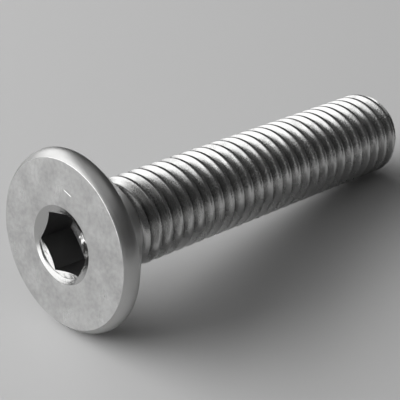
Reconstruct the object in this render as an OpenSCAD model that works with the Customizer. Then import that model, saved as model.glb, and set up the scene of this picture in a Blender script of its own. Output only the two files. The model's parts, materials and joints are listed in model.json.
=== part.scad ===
// Countersunk screw with a hexagon socket.
// It lies as it comes to rest, on the back edge of its head and the end of its shank,
// with +X from the head to the point and +Z up. Sizes are in millimetres.

/* [Shank] */
// Diameter over the thread's crests
thread_d = 7.87; // [6:0.01:10]
// Length from the head's face to the end of the point
length = 40; // [16:0.5:80]
// Length of the tapered point
point_len = 1.1; // [0.4:0.05:2]
// Diameter of the flat end of the point
point_d = 6.2; // [4:0.05:6.5]

/* [Head] */
// Outside diameter of the head
head_d = 15.9; // [13:0.1:20]
// Height of the rim, from the face to its back edge
rim_h = 1.27; // [0.9:0.01:2]
// Angle of the countersink, side to side
cone_angle = 90; // [80:1:100]
// How far the rim swells out from the face's edge to its back edge
rim_swell = 0.6; // [0.1:0.01:0.8]
// Rounding of the rim at its back edge
back_edge_r = 0.12; // [0.02:0.01:0.2]
// Fillet between the cone and the shank
neck_r = 0.4; // [0.1:0.05:0.8]

/* [Socket] */
// Key that fits the socket, across its flats
key_size = 5; // [3:0.1:6]
// Room for the key, across the flats
key_clearance = 0.05; // [0.01:0.01:0.15]
// Depth of the socket's flat walls
socket_depth = 3.35; // [2:0.05:4]
// Angle of the socket's pointed floor, side to side
floor_angle = 150; // [110:1:170]
// Width of the lead-in cone beyond the socket's corners
lead_margin = 0.03; // [0.01:0.01:0.2]
// Angle of the lead-in cone, side to side
lead_angle = 120; // [90:1:140]
// Width of the shallow dish round the lead-in
dish_margin = 0.45; // [0.1:0.01:0.6]
// Depth of the shallow dish
dish_depth = 0.11; // [0.05:0.01:0.2]
// Turn of the socket about the screw's axis
socket_turn = 18; // [0:1:59]

/* [Hidden] */
$fn = 96;

// How far a cutter stands out of the face that it cuts
overcut = 1;

shank_r = thread_d / 2;
rim_r = head_d / 2;
point_start = length - point_len;

// The cone runs from the rim's back edge down to the shank
cone_half = cone_angle / 2;
cone_end = rim_h + (rim_r - shank_r) / tan(cone_half);

// Distance from a corner to where its rounding starts, on the back edge and at the neck
back_run = back_edge_r * tan(cone_half / 2);
neck_run = neck_r * tan(cone_half / 2);

// Centres of the two roundings, as radius and depth behind the face
back_edge_at = [rim_r - back_edge_r, rim_h - back_run];
neck_at = [shank_r + neck_r, cone_end + neck_run];

// Arc of the swelling rim, which is upright where the back edge's rounding starts
face_r = rim_r - rim_swell;
swell_h = back_edge_at[1];
swell_r = (pow(rim_swell, 2) + pow(swell_h, 2)) / (2 * rim_swell);
swell_at = [rim_r - swell_r, swell_h];

// Socket sizes
hex_af = key_size + key_clearance;
hex_corner_r = hex_af / 2 / cos(30);
floor_h = hex_corner_r / tan(floor_angle / 2);
lead_r = hex_corner_r + lead_margin;
lead_h = lead_r / tan(lead_angle / 2);
dish_r = lead_r + dish_margin;
dish_flare = overcut * dish_margin / dish_depth;

// Resting pose: one level line touches the back edge's rounding and the start of the point
drop = back_edge_at[0] - shank_r;
span = point_start - back_edge_at[1];
rest_tilt = acos(-back_edge_r / norm([drop, span])) - atan2(span, drop);
face_height = back_edge_at[1] * sin(rest_tilt) + back_edge_at[0] * cos(rest_tilt) + back_edge_r;

// Ends of the lying screw along X, counted from the centre of its face
head_end = -face_r * sin(rest_tilt);
point_end = length * cos(rest_tilt) + point_d / 2 * sin(rest_tilt);
face_x = -(head_end + point_end) / 2;

// Half section of the whole screw: X is the radius, Y the depth behind the face
module half_section() {
    difference() {
        union() {
            polygon([
                [0, 0],
                [face_r, 0],
                [rim_r, swell_h],
                [rim_r - back_run * sin(cone_half), rim_h + back_run * cos(cone_half)],
                [shank_r + neck_run * sin(cone_half), cone_end - neck_run * cos(cone_half)],
                neck_at,
                [shank_r, neck_at[1]],
                [shank_r, point_start],
                [point_d / 2, length],
                [0, length]
            ]);
            intersection() {
                translate(swell_at) circle(r = swell_r);
                square([rim_r + overcut, swell_h]);
            }
            translate(back_edge_at) circle(r = back_edge_r);
        }
        translate(neck_at) circle(r = neck_r);
    }
}

// Six-sided hole with a pointed floor
module hex_hole() {
    translate([0, 0, -overcut])
        cylinder(h = overcut + socket_depth, r = hex_corner_r, $fn = 6);
    intersection() {
        cylinder(h = socket_depth + floor_h, r = hex_corner_r, $fn = 6);
        translate([0, 0, socket_depth]) cylinder(h = floor_h, r1 = hex_corner_r, r2 = 0);
    }
}

// Dished mouth with a lead-in cone, which cuts the flats in curved edges
module mouth() {
    rotate_extrude()
        polygon([
            [0, -overcut],
            [dish_r + dish_flare, -overcut],
            [lead_r, dish_depth],
            [0, dish_depth + lead_h]
        ]);
}

// The screw, upright on its face at the origin
module upright_screw() {
    difference() {
        rotate_extrude() half_section();
        rotate([0, 0, socket_turn]) hex_hole();
        mouth();
    }
}

module screw() {
    color("silver")
        translate([face_x, 0, face_height])
            rotate([0, 90 + rest_tilt, 0])
                upright_screw();
}

screw();
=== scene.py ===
import json
import math
from collections import namedtuple

import bmesh
import bpy
from bpy.props import FloatProperty, FloatVectorProperty, IntProperty, PointerProperty
from mathutils import Matrix, Vector, noise


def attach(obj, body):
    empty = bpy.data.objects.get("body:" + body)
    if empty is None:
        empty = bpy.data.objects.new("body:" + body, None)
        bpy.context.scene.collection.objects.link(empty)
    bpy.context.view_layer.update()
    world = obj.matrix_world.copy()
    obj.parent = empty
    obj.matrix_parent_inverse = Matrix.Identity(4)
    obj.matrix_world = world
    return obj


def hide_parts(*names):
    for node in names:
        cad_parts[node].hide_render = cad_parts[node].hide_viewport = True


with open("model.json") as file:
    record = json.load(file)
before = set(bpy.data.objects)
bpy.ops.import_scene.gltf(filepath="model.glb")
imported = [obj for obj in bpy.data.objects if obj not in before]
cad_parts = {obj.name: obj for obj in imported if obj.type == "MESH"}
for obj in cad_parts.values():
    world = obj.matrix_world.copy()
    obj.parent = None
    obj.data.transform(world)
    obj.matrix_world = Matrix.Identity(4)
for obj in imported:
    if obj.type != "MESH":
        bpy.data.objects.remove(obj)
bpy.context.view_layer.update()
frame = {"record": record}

bl_info = {
    "name": "Countersunk Socket Screw",
    "version": (1, 0, 0),
    "blender": (4, 5, 0),
    "location": "3D View > Sidebar > Screw",
    "description": "Models a stainless countersunk screw with a hexagon socket, and a plain stage for it",
    "category": "Add Mesh",
}

MM = 0.001
MOUNTS = {mount["name"]: mount for mount in frame["record"]["mounts"]}
THREAD_RADIUS_MM = MOUNTS["thread"]["dims"]["r_mm"]
FACE_CENTRE = Vector(MOUNTS["hex_socket"]["pos_m"])
AXIS = -Vector(MOUNTS["hex_socket"]["axis"])
LEAN = math.atan2(AXIS.x, AXIS.z)
WELD = 1e-6
SMOOTH_ANGLE = math.radians(34)

# Rings of the mesh, as shares of the surface that they cross, and steps in each arc
FACE_RINGS = 8
EDGE_STEPS = 4
RIM_STEPS = 8
BACK_STEPS = 4
CONE_RINGS = (0.25, 0.5, 0.75, 1)
LEAD_RINGS = (0.1, 0.3, 0.5, 0.7, 0.9)
SOFT_RINGS = (0, 0.33, 0.67, 1)
WALL_RINGS = (0.1, 0.4, 0.7, 0.92, 1)
FLOOR_RINGS = (0.96, 0.9, 0.83, 0.75, 0.67, 0.58, 0.49, 0.4, 0.31, 0.22, 0.12)
END_RINGS = (0.93, 0.6, 0.3, 0.05)

# Dents of the punch, counted per millimetre, and how late they fade towards the walls
LEAD_DENT_COUNT = 2.6
FLOOR_DENT_COUNT = 2
FLOOR_DENT_POWER = 6

# The thread's form, with its rings counted in millimetres from the middle of a crest
SPARE_TURNS = 2
FLANK_ANGLE = math.radians(60)
FLANK_RINGS_MM = (0.115, 0.15, 0.18, 0.24, 0.32, 0.4, 0.48, 0.55)
CREST_BLEND = 0.05 * MM
ROOT_BLEND = 0.1 * MM
NECK_BLEND = 0.1 * MM
TAPER_BLEND = 0.06 * MM

# What each mark adds to the steel's colour, roughness and relief
PATCH_COLOUR = 0.55
GRAIN_COLOUR = 0.45
PATCH_ROUGHNESS = 0.09
SCRATCH_ROUGHNESS = 0.1
STREAK_ROUGHNESS = 0.06
CLEAN_ROUGHNESS = -0.05
GRAIN_RELIEF = 0.5
MARK_DEPTH = 0.006 * MM

# Stretch of the noise that is spread from none to all, for grain and streaks, patches and scratches
NOISE_SPAN = (0.3, 0.7)
PATCH_SPAN = (0.34, 0.66)
SCRATCH_SPAN = (0.5, 0.68)

# Turn of each set of scratches in degrees, and how many times longer than wide they are
SCRATCH_SETS = ((25, 14), (-50, 18))
# Tilt of the scratches in radians, and how much finer than them the pattern is that thins them
SCRATCH_TILT = (0.3, 0.2)
SCRATCH_THINNING = 1.7

# Which finish a face of the screw gets, by its place and slope
WALL_SLOPE = 0.25
MOUTH_END = 1 * MM
RIM_SHARE = 0.9
TUMBLED, ROLLED, PUNCHED, STRUCK, TURNED, DISHED = range(6)
Finish = namedtuple("Finish", "name dull clean roughness patch_scale grain_scale streaks relief")

FLOOR_CELLS = 8
SENSOR_WIDTH = 36
CLIP_START = 0.01


def length_of(name, description, millimetres):
    """A length that the user can change."""
    return FloatProperty(
        name=name, description=description, default=millimetres * MM, min=0, unit="LENGTH", precision=6
    )


def angle_of(name, description, degrees):
    """An angle that the user can change."""
    return FloatProperty(
        name=name, description=description, default=math.radians(degrees), subtype="ANGLE"
    )


def share_of(name, description, default):
    """A share from none to all that the user can change."""
    return FloatProperty(
        name=name, description=description, default=default, min=0, max=1, subtype="FACTOR"
    )


def colour_of(name, description, default):
    """A colour that the user can change."""
    return FloatVectorProperty(
        name=name, description=description, default=default, size=3, min=0, max=1, subtype="COLOR"
    )


def level_of(name, description, default):
    """A brightness that the user can change, where 1 shows as white."""
    return FloatProperty(name=name, description=description, default=default, min=0)


def place_of(name, description, millimetres):
    """A place that the user can change."""
    return FloatVectorProperty(
        name=name,
        description=description,
        default=[c * MM for c in millimetres],
        size=3,
        subtype="TRANSLATION",
        unit="LENGTH",
    )


class HeadSizes(bpy.types.PropertyGroup):
    """Sizes of the countersunk head"""

    radius: length_of("Radius", "Outside radius of the head", 7.948)
    rim_height: length_of("Rim height", "From the face to the rim's back edge", 1.27)
    rim_swell: length_of("Rim swell", "How far the rim swells out behind the face's edge", 0.6)
    edge_rounding: length_of("Edge rounding", "Rounding of the face's edge", 0.1)
    back_rounding: length_of("Back rounding", "Rounding of the rim at its back edge", 0.12)
    cone_angle: angle_of("Cone angle", "Angle of the countersink, side to side", 90)
    crown: length_of("Crown", "How far the forged face rises towards its middle", 0.19)
    nick_start: place_of("Nick start", "One end of the nick in the face", (-5.05, -0.09, 0))
    nick_end: place_of("Nick end", "Other end of the nick in the face", (-4.82, -0.96, 0))
    nick_width: length_of("Nick width", "Half the width of the nick", 0.08)
    nick_depth: length_of("Nick depth", "Depth of the nick", 0.03)


class SocketSizes(bpy.types.PropertyGroup):
    """Sizes of the hexagon socket"""

    across_flats: length_of("Across flats", "Width of the socket across its flats", 5.05)
    wall_depth: length_of("Wall depth", "Depth of the flat walls", 3.35)
    floor_angle: angle_of("Floor angle", "Angle of the pointed floor, side to side", 150)
    mouth_radius: length_of("Mouth radius", "Outside radius of the dished mouth", 3.42)
    mouth_angle: angle_of("Mouth angle", "Angle of the dished mouth, side to side", 124)
    lead_angle: angle_of("Lead angle", "Angle of the lead-in inside the ring mark, side to side", 121)
    ring_radius: length_of("Ring radius", "Radius of the punch's ring mark in the mouth", 2.985)
    ring_width: length_of("Ring width", "Half the width of the ring mark", 0.035)
    ring_depth: length_of("Ring depth", "Depth of the ring mark where it is deepest", 0.03)
    ring_side: angle_of("Ring side", "Where the ring mark is deepest, from the underside", 30)
    burr_height: length_of("Burr height", "Height of the folded burr over one flat", 0.36)
    burr_side: angle_of("Burr side", "Where the middle of the burr is, from the underside", 248)
    burr_stretch: angle_of("Burr stretch", "How far the burr goes round the mouth", 48)
    burr_fold: angle_of("Burr fold", "From one fold of the burr to the next", 12)
    fold_rise: share_of("Fold rise", "How much of its height the burr gains within a fold", 0.4)
    edge_softness: length_of("Edge softness", "Rounding of the edges over the flats", 0.025)
    lead_dents: length_of("Lead dents", "Height of the unevenness round the mouth's edge", 0.04)
    floor_dents: length_of("Floor dents", "Height of the unevenness of the floor", 0.12)
    turn: angle_of("Turn", "Turn of the socket about the screw's axis", 18)


class ThreadSizes(bpy.types.PropertyGroup):
    """Sizes of the threaded shank"""

    crest_radius: length_of("Crest radius", "Radius over the crests", THREAD_RADIUS_MM)
    root_radius: length_of("Root radius", "Radius at the bottom of the groove", 3.17)
    blank_radius: length_of("Blank radius", "Radius of the rod before rolling", 3.6)
    pitch: length_of("Pitch", "Distance from crest to crest", 1.25)
    crest_width: length_of("Crest width", "Width of the flat on a crest", 0.29)
    neck: length_of("Neck", "Plain neck between the cone and the thread", 0.5)
    run_in: length_of("Run-in", "Length over which the groove reaches its depth", 0.9)
    phase: share_of("Phase", "Where the groove passes the underside, in pitches", 0.687)
    length: length_of("Length", "From the head's face to the end of the point", 40)
    point_length: length_of("Point length", "Length of the tapered point", 1.1)
    point_radius: length_of("Point radius", "Radius of the point's end before its edge is rounded", 3.1)
    point_rounding: length_of("Point rounding", "Rounding of the edge at the point's end", 0.25)
    # How far up the flanks the painted shade of the groove reaches
    shade_height: length_of("Shade height", "How far grime reaches up the flanks from the root", 0.3)


class SteelFinish(bpy.types.PropertyGroup):
    """Colour and polish of the stainless steel"""

    bright: colour_of("Bright steel", "Colour where the steel is cleanest", (0.88, 0.88, 0.875))
    dull: colour_of("Dull steel", "Colour of the dull patches", (0.58, 0.58, 0.575))
    oiled: colour_of("Oiled steel", "Colour of the rim and the mouth", (0.5, 0.5, 0.495))
    rolled: colour_of("Rolled steel", "Colour of the thread", (0.56, 0.56, 0.555))
    # Painted shade: this dark colour stands for the shade in the socket's recess and at the bottom of the
    # thread's groove
    painted_shade: colour_of("Painted shade", "Colour in the socket and the groove", (0.14, 0.14, 0.14))
    head_roughness: share_of("Head roughness", "Roughness of the tumbled head", 0.2)
    rim_roughness: share_of("Rim roughness", "Roughness of the turned rim", 0.36)
    thread_roughness: share_of("Thread roughness", "Roughness of the rolled thread", 0.24)
    socket_roughness: share_of("Socket roughness", "Roughness of the punched socket", 0.5)


class StageLook(bpy.types.PropertyGroup):
    """The floor, the light and the camera"""

    floor_colour: colour_of("Floor colour", "Colour of the plain floor", (0.5, 0.5, 0.5))
    floor_width: length_of("Floor width", "Width of the square floor", 3000)
    floor_roughness: share_of("Floor roughness", "Roughness of the floor", 0.8)
    floor_gloss: share_of("Floor gloss", "Strength of the floor's reflections", 0.2)
    key_place: place_of("Key place", "Middle of the key lamp", (-347, 399, 282))
    key_width: length_of("Key width", "Width of the key lamp", 840)
    key_height: length_of("Key height", "Height of the key lamp", 233)
    key_level: level_of("Key level", "Brightness of the key lamp", 7.1)
    fill_place: place_of("Fill place", "Middle of the fill lamp overhead", (-350, 60, 1200))
    fill_width: length_of("Fill width", "Width of the fill lamp", 1500)
    fill_height: length_of("Fill height", "Height of the fill lamp", 1500)
    fill_level: level_of("Fill level", "Brightness of the fill lamp", 0.35)
    window_place: place_of("Window place", "Middle of the tall window", (-377, 590, 540))
    window_width: length_of("Window width", "Width of the tall window", 2200)
    window_height: length_of("Window height", "Height of the tall window", 840)
    window_level: level_of("Window level", "Brightness of the tall window", 1.9)
    strip_place: place_of("Strip place", "Middle of the low strip", (-699, 23, 80))
    strip_width: length_of("Strip width", "Width of the low strip", 400)
    strip_height: length_of("Strip height", "Height of the low strip", 160)
    strip_level: level_of("Strip level", "Brightness of the low strip", 1.9)
    room_light: share_of("Room light", "Level of the even light all round", 0.06)
    camera_place: place_of("Camera place", "Where the camera stands", (-83.324, -79.798, 72.184))
    camera_aim: place_of("Camera aim", "Floor point in the middle of the view", (2.957, 6.811, 0))
    camera_lens: FloatProperty(
        name="Lens",
        description="Focal length in mm on a 36 mm sensor",
        default=132.583,
        min=1,
        unit="CAMERA",
    )


class ScrewSettings(bpy.types.PropertyGroup):
    """All that a user would change"""

    head: PointerProperty(type=HeadSizes, name="Head")
    socket: PointerProperty(type=SocketSizes, name="Socket")
    thread: PointerProperty(type=ThreadSizes, name="Thread")
    steel: PointerProperty(type=SteelFinish, name="Steel")
    stage: PointerProperty(type=StageLook, name="Stage")
    columns: IntProperty(
        name="Columns", description="Faces once round the screw, in sixes", default=120, min=24, step=6
    )


def mix(start, end, share):
    """The value that lies a share of the way from start to end."""
    return start + (end - start) * share


def smooth_step(share):
    """A share eased at both ends, and held between 0 and 1."""
    share = max(0.0, min(1.0, share))
    return share * share * (3 - 2 * share)


def soft_min(a, b, blend):
    """The lower of two heights, with a rounded change from one to the other."""
    near = max(blend - abs(a - b), 0) / blend
    return min(a, b) - near * near * blend / 4


def soft_max(a, b, blend):
    """The higher of two heights, with a rounded change from one to the other."""
    return -soft_min(-a, -b, blend)


def arc(centre, radius, start, end, steps):
    """Points on an arc in the half section, as (radius, depth)."""
    angles = [math.radians(start + (end - start) * i / steps) for i in range(steps + 1)]
    return [(centre[0] + radius * math.cos(t), centre[1] + radius * math.sin(t)) for t in angles]


def begin_ring(name, columns, radius):
    """A new ring at depth 0, open in edit mode with all its vertices selected."""
    bpy.ops.object.select_all(action="DESELECT")
    bpy.ops.mesh.primitive_circle_add(vertices=columns, radius=radius, fill_type="NOTHING")
    ring = bpy.context.object
    ring.name = name
    bpy.ops.object.mode_set(mode="EDIT")
    bpy.ops.mesh.select_all(action="SELECT")
    return ring


def sweep_rings(here, path):
    """Extrudes the selected ring from here through each (radius, depth) of the path."""
    for radius, depth in path:
        move = (0, 0, depth - here[1])
        bpy.ops.mesh.extrude_region_move(TRANSFORM_OT_translate={"value": move})
        grow = radius / here[0]
        bpy.ops.transform.resize(value=(grow, grow, 1), center_override=(0, 0, depth))
        here = (radius, depth)


def form_ring(shape):
    """Extrudes the selected ring and sets its vertices by shape(angle), which gives (radius, depth)."""
    bpy.ops.mesh.extrude_region_move()
    mesh = bpy.context.object.data
    ring = bmesh.from_edit_mesh(mesh)
    for vertex in ring.verts:
        if vertex.select:
            angle = math.atan2(vertex.co.y, vertex.co.x)
            radius, depth = shape(angle)
            vertex.co = (radius * math.cos(angle), radius * math.sin(angle), depth)
    bmesh.update_edit_mesh(mesh)


def select_where(test):
    """Selects the vertices of the mesh in edit mode for which test(radius, depth) holds."""
    bpy.ops.mesh.select_all(action="DESELECT")
    mesh = bpy.context.object.data
    form = bmesh.from_edit_mesh(mesh)
    for vertex in form.verts:
        if test(math.hypot(vertex.co.x, vertex.co.y), vertex.co.z):
            vertex.select = True
    form.select_flush(True)
    bmesh.update_edit_mesh(mesh)


def rim_arcs(head):
    """Centre of the edge's rounding, centre and radius of the rim's arc, and the angle where they meet."""
    high = head.rim_height - head.back_rounding * math.tan(head.cone_angle / 4)
    swell = (head.rim_swell**2 + high**2) / (2 * head.rim_swell)
    centre = (head.radius - swell, high)
    edge = head.edge_rounding
    across = math.sqrt((swell - edge) ** 2 - (high - edge) ** 2)
    return (centre[0] + across, edge), centre, swell, math.degrees(math.atan2(edge - high, across))


def face_depth(head, radius):
    """Depth of the slightly crowned face, which is 0 where the edge's rounding starts."""
    return -head.crown * (1 - (radius / rim_arcs(head)[0][0]) ** 2)


def head_path(head, mouth_radius, shank_radius):
    """Half section of the head from the socket's mouth to the end of the cone."""
    half = head.cone_angle / 2
    back = head.back_rounding
    edge_centre, swell_centre, swell, meet = rim_arcs(head)
    across = [mix(mouth_radius, edge_centre[0], i / FACE_RINGS) for i in range(1, FACE_RINGS)]
    path = [(radius, face_depth(head, radius)) for radius in across]
    path += arc(edge_centre, head.edge_rounding, -90, meet, EDGE_STEPS)
    path += arc(swell_centre, swell, meet, 0, RIM_STEPS)[1:]
    path += arc((head.radius - back, swell_centre[1]), back, 0, 90 - math.degrees(half), BACK_STEPS)[1:]
    cone_end = cone_end_of(head, shank_radius)
    top_radius, top_depth = path[-1]
    for share in CONE_RINGS:
        path.append((mix(top_radius, shank_radius, share), mix(top_depth, cone_end, share)))
    return path


def cone_end_of(head, shank_radius):
    """Depth at which the cone is as narrow as the shank."""
    return head.rim_height + (head.radius - shank_radius) / math.tan(head.cone_angle / 2)


def corner_of(socket):
    """Radius of the hexagon's corners."""
    return socket.across_flats / 2 / math.cos(math.radians(30))


def model_head(settings):
    """The head with its rim and cone, and the socket down to its floor."""
    head, socket, thread = settings.head, settings.socket, settings.thread
    half_flat = socket.across_flats / 2
    corner = corner_of(socket)
    mouth_radius = socket.mouth_radius
    mouth_top = face_depth(head, mouth_radius)
    mouth_slope = 1 / math.tan(socket.mouth_angle / 2)
    lead_slope = 1 / math.tan(socket.lead_angle / 2)
    floor_slope = 1 / math.tan(socket.floor_angle / 2)
    soft = socket.edge_softness

    def flat(angle):
        """Radius of the hexagon's wall."""
        sixth = math.radians(60)
        return half_flat / math.cos((angle % sixth) - sixth / 2)

    def on_mouth(radius):
        """A point on the dished mouth or the steeper lead-in inside it, as (radius, depth)."""
        outside = max(radius, socket.ring_radius)
        return radius, mouth_top + (mouth_radius - outside) * mouth_slope + (outside - radius) * lead_slope

    def edge(angle):
        """Where the lead-in cuts the wall."""
        return on_mouth(flat(angle))

    def ring_mark(angle):
        """Bottom of the ring mark, which the punch left at one side only."""
        radius, depth = on_mouth(socket.ring_radius)
        aside = max(0, math.cos(angle - socket.ring_side + socket.turn))
        return radius, depth + socket.ring_depth * aside

    def unevenness(radius, angle, count):
        """Dents from the punch, between -1 and 1, where count gives them per millimetre."""
        return noise.noise(Vector((radius * math.cos(angle), radius * math.sin(angle), 0)) * count / MM)

    def burr(angle):
        """Height of the burr that the punch folded over one flat."""
        aside = (angle + socket.turn - socket.burr_side + math.pi) % math.tau - math.pi
        fade = socket.burr_stretch / 6
        within = smooth_step((socket.burr_stretch / 2 - abs(aside)) / fade)
        fold = aside / socket.burr_fold % 1 - 0.5
        return socket.burr_height * within * (1 + socket.fold_rise * fold)

    def lead_ring(share):
        """Uneven ring on the mouth, from inside the ring mark at share 0 to the walls at share 1."""
        def shape(angle):
            inside = socket.ring_radius - socket.ring_width
            radius, depth = on_mouth(mix(inside, flat(angle) + soft, share))
            dent = socket.lead_dents * unevenness(radius, angle, LEAD_DENT_COUNT)
            return radius, depth + dent * math.sin(math.pi * share) - burr(angle) * share
        return shape

    def edge_ring(share):
        """Rounded change from the mouth to the wall, from share 0 to share 1."""
        def shape(angle):
            radius, depth = edge(angle)
            before = (radius + soft, depth - soft * lead_slope)
            after = (radius, depth + soft)
            a, b, c = (1 - share) ** 2, 2 * share * (1 - share), share**2
            return tuple(a * p + b * q + c * r for p, q, r in zip(before, (radius, depth), after))
        return shape

    def wall_ring(share):
        """Ring on the flat walls, from their softened edge at share 0 to the floor at share 1."""
        def shape(angle):
            radius, depth = edge(angle)
            top = depth + soft
            bottom = socket.wall_depth + (corner - radius) * floor_slope
            return radius, mix(top, bottom, share)
        return shape

    def floor_ring(share):
        """Ring on the uneven pointed floor, from the walls at share 1 to its middle at share 0."""
        def shape(angle):
            radius = flat(angle) * share
            depth = socket.wall_depth + (corner - radius) * floor_slope
            dent = socket.floor_dents * unevenness(radius, angle, FLOOR_DENT_COUNT)
            return radius, depth + dent * (1 - share**FLOOR_DENT_POWER)
        return shape

    form = begin_ring("head", settings.columns, mouth_radius)
    bpy.ops.transform.translate(value=(0, 0, mouth_top))
    sweep_rings((mouth_radius, mouth_top), head_path(head, mouth_radius, thread.crest_radius))
    select_where(lambda radius, depth: abs(radius - mouth_radius) < WELD and depth < 0)
    ring, width = socket.ring_radius, socket.ring_width
    sweep_rings(
        (mouth_radius, mouth_top),
        [on_mouth(mouth_radius - width), on_mouth((mouth_radius + ring) / 2), on_mouth(ring + width)],
    )
    form_ring(ring_mark)
    form_ring(lambda angle: on_mouth(ring - width))
    for share in LEAD_RINGS:
        form_ring(lead_ring(share))
    for share in SOFT_RINGS:
        form_ring(edge_ring(share))
    for share in WALL_RINGS:
        form_ring(wall_ring(share))
    for share in FLOOR_RINGS:
        form_ring(floor_ring(share))
    bpy.ops.mesh.merge(type="CENTER")
    bpy.ops.object.mode_set(mode="OBJECT")
    return form


def thread_profile(thread):
    """One pitch of the thread from root to root, as (radius, depth from its crest)."""
    half_pitch = thread.pitch / 2
    slope = math.tan(FLANK_ANGLE)
    half_crest = thread.crest_width / 2

    def height(depth):
        """Radius of the thread at a depth from its crest."""
        flank = thread.crest_radius - slope * (depth - half_crest)
        rolled = soft_min(flank, thread.crest_radius, CREST_BLEND)
        return soft_max(rolled, thread.root_radius, ROOT_BLEND)

    depths = [depth * MM for depth in FLANK_RINGS_MM] + [half_pitch]
    half = [(height(depth), depth) for depth in depths]
    return [(radius, -depth) for radius, depth in reversed(half)] + [(height(0), 0)] + half


def model_thread(settings):
    """The rolled thread from the end of the cone to the flat end of the point."""
    head, thread = settings.head, settings.thread
    start = cone_end_of(head, thread.crest_radius)
    pitch = thread.pitch
    turns = math.ceil((thread.length - start) / pitch) + SPARE_TURNS
    root = (thread.phase + settings.socket.turn / math.tau) * pitch
    first = root + pitch * math.floor((start - pitch - root) / pitch)
    profile = [(radius, first + pitch / 2 + depth) for radius, depth in thread_profile(thread)]

    bpy.ops.object.select_all(action="DESELECT")
    bpy.ops.mesh.primitive_plane_add(size=MM, location=(profile[0][0], 0, profile[0][1]))
    form = bpy.context.object
    form.name = "thread"
    bpy.ops.object.transform_apply(location=True, rotation=True, scale=True)
    bpy.ops.object.mode_set(mode="EDIT")
    bpy.ops.mesh.select_all(action="SELECT")
    bpy.ops.mesh.merge(type="CENTER")
    for before, after in zip(profile, profile[1:]):
        move = (after[0] - before[0], 0, after[1] - before[1])
        bpy.ops.mesh.extrude_region_move(TRANSFORM_OT_translate={"value": move})
    bpy.ops.object.mode_set(mode="OBJECT")

    winding = form.modifiers.new("winding", "SCREW")
    winding.axis = "Z"
    winding.angle = math.tau
    winding.screw_offset = pitch
    winding.iterations = turns
    winding.steps = winding.render_steps = settings.columns
    bpy.ops.object.modifier_apply(modifier=winding.name)
    trim_thread(form.data, head, thread, start)

    bpy.ops.object.mode_set(mode="EDIT")
    bpy.ops.mesh.select_all(action="SELECT")
    bpy.ops.mesh.remove_doubles(threshold=WELD)
    end = thread.length
    select_where(lambda radius, depth: depth > end - WELD)
    edge = point_limit(thread, end)
    sweep_rings((edge, end), [(edge * share, end) for share in END_RINGS])
    bpy.ops.mesh.merge(type="CENTER")
    bpy.ops.object.mode_set(mode="OBJECT")
    return form


def point_limit(thread, depth):
    """Radius of the tapered point at a depth, with the rounded edge of its flat end."""
    slope = (thread.crest_radius - thread.point_radius) / thread.point_length
    steep = math.hypot(1, slope)
    past = 1 - (thread.length - depth) / thread.point_rounding
    if past < slope / steep:
        return thread.point_radius + (thread.length - depth) * slope
    middle = thread.point_radius + thread.point_rounding * (slope - steep)
    return middle + thread.point_rounding * math.sqrt(1 - past * past)


def trim_thread(mesh, head, thread, start):
    """Lets the thread grow out of the cone, and tapers it at the point."""
    crest, blank = thread.crest_radius, thread.blank_radius
    cone_slope = math.tan(head.cone_angle / 2)
    for vertex in mesh.vertices:
        x, y, depth = vertex.co
        radius = math.hypot(x, y)
        angle = math.atan2(y, x)
        if depth <= start:
            radius, depth = crest, start
        elif depth >= thread.length:
            radius, depth = point_limit(thread, thread.length), thread.length
        else:
            full = smooth_step((depth - start - thread.neck) / thread.run_in)
            radius = mix(blank, radius, full)
            radius = soft_max(radius, crest - (depth - start) * cone_slope, NECK_BLEND)
            radius = min(soft_min(radius, point_limit(thread, depth), TAPER_BLEND), crest)
        vertex.co = (radius * math.cos(angle), radius * math.sin(angle), depth)


def node(tree, kind, wires=None, **settings):
    """Adds a node, with its settings, and a socket or a value for each of its inputs."""
    made = tree.nodes.new(kind)
    for name, value in settings.items():
        setattr(made, name, value)
    for name, value in (wires or {}).items():
        if isinstance(value, bpy.types.NodeSocket):
            tree.links.new(value, made.inputs[name])
        else:
            made.inputs[name].default_value = value
    return made


def maths(tree, operation, *values, clamp=False):
    """One step of arithmetic."""
    wires = dict(enumerate(values))
    return node(tree, "ShaderNodeMath", wires, operation=operation, use_clamp=clamp).outputs[0]


def vector_maths(tree, operation, output, wires):
    """One step of vector arithmetic, and its Vector or Value."""
    return node(tree, "ShaderNodeVectorMath", wires, operation=operation).outputs[output]


def radius_at(tree, upright):
    """Distance of a place from the screw's axis."""
    flat = vector_maths(tree, "MULTIPLY", "Vector", {0: upright, 1: (1, 1, 0)})
    return vector_maths(tree, "LENGTH", "Value", {0: flat})


def colour_between(tree, first, second, share):
    """The mix of two colours."""
    wires = {"Factor": share, "A": (*first, 1), "B": (*second, 1)}
    return node(tree, "ShaderNodeMix", wires, data_type="RGBA").outputs[2]


def noise_at(tree, place, scale, detail):
    """Clouds of noise between 0 and 1."""
    wires = {"Vector": place, "Scale": scale, "Detail": detail}
    return node(tree, "ShaderNodeTexNoise", wires).outputs["Fac"]


def spread(tree, value, low, high):
    """Spreads value so that low gives 0 and high gives 1."""
    wires = {"Value": value, "From Min": low, "From Max": high}
    return node(tree, "ShaderNodeMapRange", wires, clamp=True).outputs["Result"]


def new_group(name, inputs, outputs):
    """An empty shader node group with these float inputs beside its Vector, and float outputs."""
    tree = bpy.data.node_groups.new(name, "ShaderNodeTree")
    tree.interface.new_socket("Vector", in_out="INPUT", socket_type="NodeSocketVector")
    for label, default in inputs:
        made = tree.interface.new_socket(label, in_out="INPUT", socket_type="NodeSocketFloat")
        made.default_value = default
    for label in outputs:
        tree.interface.new_socket(label, in_out="OUTPUT", socket_type="NodeSocketFloat")
    return tree, tree.nodes.new("NodeGroupInput").outputs, tree.nodes.new("NodeGroupOutput").inputs


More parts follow.
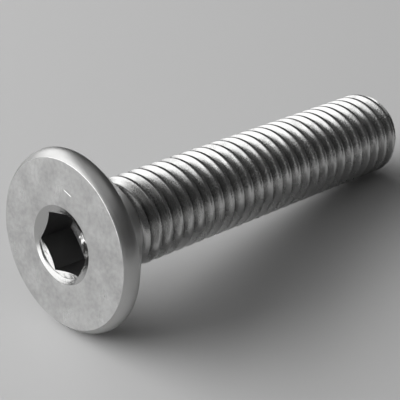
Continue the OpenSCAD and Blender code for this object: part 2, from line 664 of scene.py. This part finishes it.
def tumbled_mottle():
    """Dull patches and fine grain, as barrel tumbling leaves them."""
    tree, given, out = new_group(
        "tumbled_mottle", [("Patch Scale", 500), ("Grain Scale", 7000)], ["Patches", "Grain"]
    )
    for label, scale, detail, span in (
        ("Patches", "Patch Scale", 3, PATCH_SPAN),
        ("Grain", "Grain Scale", 5, NOISE_SPAN),
    ):
        cloud = noise_at(tree, given["Vector"], given[scale], detail)
        tree.links.new(spread(tree, cloud, *span), out[label])
    return tree


def handling_scratches():
    """Short fine scratches in two directions, thinned out in places."""
    tree, given, out = new_group("handling_scratches", [("Scale", 300), ("Width", 0.03)], ["Scratches"])
    lines = []
    for turn, stretch in SCRATCH_SETS:
        lay = {
            "Vector": given["Vector"],
            "Rotation": (*SCRATCH_TILT, math.radians(turn)),
            "Scale": (1, stretch, stretch),
        }
        turned = node(tree, "ShaderNodeMapping", lay).outputs["Vector"]
        cloud = noise_at(tree, turned, given["Scale"], 1)
        off = maths(tree, "ABSOLUTE", maths(tree, "SUBTRACT", cloud, 0.5))
        lines.append(maths(tree, "SUBTRACT", 1.0, maths(tree, "DIVIDE", off, given["Width"]), clamp=True))
    both = maths(tree, "MAXIMUM", *lines)
    where = noise_at(tree, given["Vector"], maths(tree, "MULTIPLY", given["Scale"], SCRATCH_THINNING), 2)
    thin = spread(tree, where, *SCRATCH_SPAN)
    tree.links.new(maths(tree, "MULTIPLY", both, thin), out["Scratches"])
    return tree


def rolling_streaks():
    """Streaks that run round the screw's axis, finest across the radius."""
    tree, given, out = new_group(
        "rolling_streaks", [("Across", 9000), ("Along", 700), ("Aside", 150)], ["Streaks"]
    )
    part = node(tree, "ShaderNodeSeparateXYZ", {"Vector": given["Vector"]}).outputs
    stretched = {
        "X": maths(tree, "MULTIPLY", radius_at(tree, given["Vector"]), given["Across"]),
        "Y": maths(tree, "MULTIPLY", part["Z"], given["Along"]),
        "Z": maths(tree, "MULTIPLY", part["X"], given["Aside"]),
    }
    place = node(tree, "ShaderNodeCombineXYZ", stretched).outputs["Vector"]
    tree.links.new(spread(tree, noise_at(tree, place, 1, 3), *NOISE_SPAN), out["Streaks"])
    return tree


def use_group(tree, group, wires):
    """Places a group in a material, and gives its outputs."""
    return node(tree, "ShaderNodeGroup", wires, node_tree=group).outputs


def upright_place(tree):
    """The place on the screw as it stands on its face, with the middle of the face at the origin."""
    lying = {
        "Vector": node(tree, "ShaderNodeTexCoord").outputs["Object"],
        "Location": FACE_CENTRE,
        "Rotation": (0, LEAN, 0),
    }
    return node(tree, "ShaderNodeMapping", lying, vector_type="TEXTURE").outputs["Vector"]


def steel_material(finish, groups):
    """Stainless steel of one colour, or mottled with a dull one, with the marks of its finish."""
    material = bpy.data.materials.new(finish.name)
    material.use_nodes = True
    tree = material.node_tree
    shader = tree.nodes["Principled BSDF"].inputs
    upright = upright_place(tree)
    scales = {"Patch Scale": finish.patch_scale, "Grain Scale": finish.grain_scale}
    mottle = use_group(tree, groups["mottle"], {"Vector": upright, **scales})
    scratch = use_group(tree, groups["scratches"], {"Vector": upright})["Scratches"]
    streaks = use_group(tree, groups["streaks"], {"Vector": upright})["Streaks"]

    def add(value, mark, weight):
        """Adds a mark to a value by its weight."""
        return maths(tree, "MULTIPLY_ADD", mark, weight, value)

    if finish.dull is None:
        shader["Base Color"].default_value = (*finish.clean, 1)
    else:
        marks = add(maths(tree, "MULTIPLY", mottle["Grain"], GRAIN_COLOUR), mottle["Patches"], PATCH_COLOUR)
        tree.links.new(colour_between(tree, finish.dull, finish.clean, marks), shader["Base Color"])
    shader["Metallic"].default_value = 1
    rough = add(finish.roughness + CLEAN_ROUGHNESS, mottle["Patches"], PATCH_ROUGHNESS)
    rough = add(rough, scratch, SCRATCH_ROUGHNESS)
    rough = add(rough, streaks, STREAK_ROUGHNESS * finish.streaks)
    tree.links.new(rough, shader["Roughness"])
    height = maths(tree, "SUBTRACT", maths(tree, "MULTIPLY", mottle["Grain"], GRAIN_RELIEF), scratch)
    height = add(height, streaks, finish.streaks)
    marked = {"Height": height, "Strength": finish.relief, "Distance": MARK_DEPTH}
    tree.links.new(node(tree, "ShaderNodeBump", marked).outputs["Normal"], shader["Normal"])
    return material


def cut_nick(material, head):
    """Cuts the nick of the face into a material's relief."""
    tree = material.node_tree
    normal = tree.nodes["Principled BSDF"].inputs["Normal"]
    start = Vector(head.nick_start)
    along = Vector(head.nick_end) - start
    flat = vector_maths(tree, "MULTIPLY", "Vector", {0: upright_place(tree), 1: (1, 1, 0)})
    off = vector_maths(tree, "SUBTRACT", "Vector", {0: flat, 1: start})
    reach = vector_maths(tree, "DOT_PRODUCT", "Value", {0: off, 1: along})
    share = maths(tree, "DIVIDE", reach, along.length_squared, clamp=True)
    foot = vector_maths(tree, "SCALE", "Vector", {0: along, "Scale": share})
    distance = vector_maths(tree, "DISTANCE", "Value", {0: off, 1: foot})
    height = spread(tree, distance, 0, head.nick_width)
    nicked = {"Height": height, "Distance": head.nick_depth, "Normal": normal.links[0].from_socket}
    tree.links.new(node(tree, "ShaderNodeBump", nicked).outputs["Normal"], normal)


def paint_groove_shade(material, steel, thread):
    """Paints shade into the bottom of the thread's groove, darkest at the root."""
    tree = material.node_tree
    root = thread.root_radius
    # The painted shade fades from the root up the flanks; clean is the share where the thread keeps its own
    # colour
    clean = spread(tree, radius_at(tree, upright_place(tree)), root, root + thread.shade_height)
    colour = colour_between(tree, steel.painted_shade, steel.rolled, clean)
    tree.links.new(colour, tree.nodes["Principled BSDF"].inputs["Base Color"])


class MESH_OT_countersunk_screw_add(bpy.types.Operator):
    """Model the screw with its socket and thread, and give it its steel"""

    bl_idname = "mesh.countersunk_screw_add"
    bl_label = "Add Countersunk Screw"

    def execute(self, context):
        settings = context.scene.countersunk_screw
        head = model_head(settings)
        thread = model_thread(settings)
        bpy.ops.object.select_all(action="DESELECT")
        head.select_set(True)
        thread.select_set(True)
        context.view_layer.objects.active = head
        bpy.ops.object.join()
        head.name = "steel_screw"
        head.data.name = "steel_screw"
        bpy.ops.object.mode_set(mode="EDIT")
        bpy.ops.mesh.select_all(action="SELECT")
        bpy.ops.mesh.remove_doubles(threshold=WELD)
        bpy.ops.mesh.dissolve_degenerate(threshold=WELD / 10)
        bpy.ops.mesh.select_all(action="SELECT")
        bpy.ops.mesh.normals_make_consistent(inside=False)
        bpy.ops.object.mode_set(mode="OBJECT")
        self.dress(head, settings)
        bpy.ops.object.shade_smooth_by_angle(angle=SMOOTH_ANGLE)
        head.matrix_world = (
            Matrix.Translation(FACE_CENTRE)
            @ Matrix.Rotation(LEAN, 4, "Y")
            @ Matrix.Rotation(settings.socket.turn, 4, "Z")
        )
        bpy.ops.object.transform_apply(location=True, rotation=True, scale=True)
        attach(head, "root")
        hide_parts("screw")
        return {"FINISHED"}

    def dress(self, piece, settings):
        """Gives each part of the screw its finish, with painted shade in the socket and at the bottom of
        the groove.
        """
        steel, head, socket, thread = settings.steel, settings.head, settings.socket, settings.thread
        groups = {
            "mottle": tumbled_mottle(),
            "scratches": handling_scratches(),
            "streaks": rolling_streaks(),
        }
        finishes = (
            Finish("tumbled_steel", steel.dull, steel.bright, steel.head_roughness, 450, 2600, 0.1, 0.3),
            Finish("rolled_steel", None, steel.rolled, steel.thread_roughness, 900, 9000, 0.4, 1),
            # The socket's walls take the dark colour as painted shade of the recess; its floor mottles that
            # painted shade with bright steel
            Finish("punched_steel", None, steel.painted_shade, steel.socket_roughness, 1500, 6000, 0.2, 0.5),
            Finish("struck_steel", steel.painted_shade, steel.bright, steel.socket_roughness, 1500, 6000, 0.1, 0.5),
            Finish("turned_steel", None, steel.oiled, steel.rim_roughness, 450, 7000, 0.6, 0.4),
            Finish("dished_steel", None, steel.oiled, steel.head_roughness, 450, 7000, 0.1, 0.3),
        )
        materials = piece.data.materials
        for finish in finishes:
            materials.append(steel_material(finish, groups))
        cut_nick(materials[TUMBLED], head)
        # Painted shade at the bottom of the thread's groove
        paint_groove_shade(materials[ROLLED], steel, thread)
        for face in piece.data.polygons:
            face.material_index = self.finish_of(face, head, socket, thread)

    def finish_of(self, face, head, socket, thread):
        """Which finish a face has, by its place on the screw."""
        radius, depth = math.hypot(face.center.x, face.center.y), face.center.z
        in_socket = radius < corner_of(socket)
        if depth > thread.length - thread.point_rounding:
            return TURNED
        if depth > cone_end_of(head, thread.crest_radius):
            return ROLLED
        if in_socket and abs(face.normal.z) < WALL_SLOPE:
            return PUNCHED
        if in_socket and depth > MOUTH_END:
            return STRUCK
        if radius < socket.mouth_radius:
            return DISHED
        if radius > head.radius - head.rim_swell * RIM_SHARE or depth > head.rim_height:
            return TURNED
        return TUMBLED


class SCENE_OT_screw_stage_add(bpy.types.Operator):
    """Set up the floor, the light and the camera"""

    bl_idname = "scene.screw_stage_add"
    bl_label = "Add Screw Stage"

    def execute(self, context):
        stage = context.scene.countersunk_screw.stage
        self.add_floor(stage)
        self.add_light(context.scene, stage)
        self.add_camera(context.scene, stage)
        context.scene.view_settings.view_transform = "Standard"
        return {"FINISHED"}

    def add_floor(self, stage):
        """A plain floor, far wider than the view."""
        bpy.ops.object.select_all(action="DESELECT")
        bpy.ops.mesh.primitive_grid_add(
            x_subdivisions=FLOOR_CELLS, y_subdivisions=FLOOR_CELLS, size=stage.floor_width
        )
        floor = bpy.context.object
        floor.name = "floor"
        material = bpy.data.materials.new("plain_floor")
        material.use_nodes = True
        shader = material.node_tree.nodes["Principled BSDF"].inputs
        shader["Base Color"].default_value = (*stage.floor_colour, 1)
        shader["Roughness"].default_value = stage.floor_roughness
        shader["Specular IOR Level"].default_value = stage.floor_gloss
        floor.data.materials.append(material)

    def add_light(self, scene, stage):
        """Four soft lamps and an even room. The steel doesn't mirror the key lamp."""
        for name in ("key", "fill", "window", "strip"):
            place, width, height, level = (
                getattr(stage, f"{name}_{part}") for part in ("place", "width", "height", "level")
            )
            bpy.ops.object.light_add(type="AREA", location=place)
            lamp = bpy.context.object
            lamp.name = f"{name}_lamp"
            level_aim = name in ("window", "strip")
            facing = Vector((-place[0], -place[1], 0 if level_aim else -place[2]))
            lamp.rotation_euler = facing.to_track_quat("-Z", "Y").to_euler()
            lamp.data.shape = "RECTANGLE"
            lamp.data.size = width
            lamp.data.size_y = height
            lamp.data.energy = level * math.pi * width * height
            lamp.visible_glossy = name != "key"
        world = bpy.data.worlds.new("room")
        world.use_nodes = True
        sky = world.node_tree.nodes["Background"]
        sky.inputs["Color"].default_value = (1, 1, 1, 1)
        sky.inputs["Strength"].default_value = stage.room_light
        scene.world = world

    def add_camera(self, scene, stage):
        """The camera, turned to its point on the floor."""
        place, aim = Vector(stage.camera_place), Vector(stage.camera_aim)
        bpy.ops.object.camera_add(location=place)
        camera = bpy.context.object
        camera.name = "camera"
        camera.rotation_euler = (aim - place).to_track_quat("-Z", "Y").to_euler()
        camera.data.sensor_width = SENSOR_WIDTH
        camera.data.lens = stage.camera_lens
        camera.data.clip_start = CLIP_START
        scene.camera = camera


class VIEW3D_PT_countersunk_screw(bpy.types.Panel):
    """Lists the screw's steps and sizes"""

    bl_label = "Countersunk Screw"
    bl_space_type = "VIEW_3D"
    bl_region_type = "UI"
    bl_category = "Screw"

    def draw(self, context):
        settings = context.scene.countersunk_screw
        layout = self.layout
        layout.operator(MESH_OT_countersunk_screw_add.bl_idname)
        layout.operator(SCENE_OT_screw_stage_add.bl_idname)
        for part in ("head", "socket", "thread", "steel", "stage"):
            box = layout.box()
            box.label(text=part.capitalize())
            group = getattr(settings, part)
            for name in group.__annotations__:
                box.prop(group, name)
        layout.prop(settings, "columns")


CLASSES = (
    HeadSizes,
    SocketSizes,
    ThreadSizes,
    SteelFinish,
    StageLook,
    ScrewSettings,
    MESH_OT_countersunk_screw_add,
    SCENE_OT_screw_stage_add,
    VIEW3D_PT_countersunk_screw,
)


def register():
    for cls in CLASSES:
        bpy.utils.register_class(cls)
    bpy.types.Scene.countersunk_screw = PointerProperty(type=ScrewSettings)


def unregister():
    del bpy.types.Scene.countersunk_screw
    for cls in reversed(CLASSES):
        bpy.utils.unregister_class(cls)


def main():
    register()
    bpy.ops.mesh.countersunk_screw_add()
    bpy.ops.scene.screw_stage_add()


if __name__ == "__main__":
    main()
